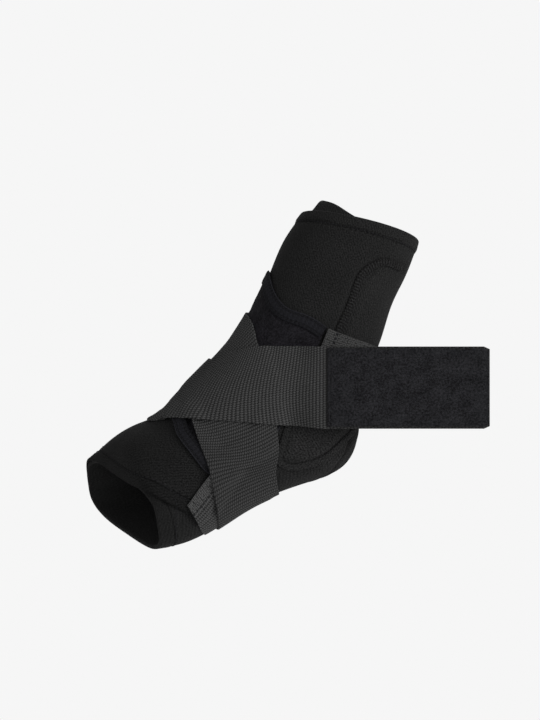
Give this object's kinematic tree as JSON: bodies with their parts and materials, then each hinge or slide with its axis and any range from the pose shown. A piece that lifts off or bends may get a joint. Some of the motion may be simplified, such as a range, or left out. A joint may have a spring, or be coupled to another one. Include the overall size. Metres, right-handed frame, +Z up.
{
  "type": "ankle brace",
  "caption": "Soft ankle brace shaped to a left foot: foamed-rubber sleeve with an instep panel and two wide crossed elastic straps, one held out by its free end.",
  "frame": {"origin": "middle of the ankle inside the sleeve, where the wearer's ankle sits", "axes": "+X towards the free end of the outer strap (towards the heel), +Y towards the inner side of the ankle, +Z up"},
  "size_m": [0.2815, 0.101, 0.2443],
  "materials": {
    "sleeve_neoprene": "jersey-faced foam rubber",
    "flap_neoprene": "jersey-faced foam rubber",
    "loop_cloth": "brushed loop pile",
    "grey_elastic": "woven tape",
    "strap_elastic": "ribbed woven elastic",
    "hook_tape": "moulded hooks"
  },
  "bodies": {
    "root": {"ankle_sleeve": "sleeve_neoprene", "inner_flap": "sleeve_neoprene", "forefoot_flap": "flap_neoprene", "instep_panel": "loop_cloth", "ankle_tab": "grey_elastic", "forefoot_tab": "grey_elastic", "inner_strap": "strap_elastic", "inner_strap_end": "loop_cloth", "outer_strap": "strap_elastic", "outer_strap_end_pad": "loop_cloth", "outer_strap_hook_patch": "hook_tape"}
  },
  "joints": []
}
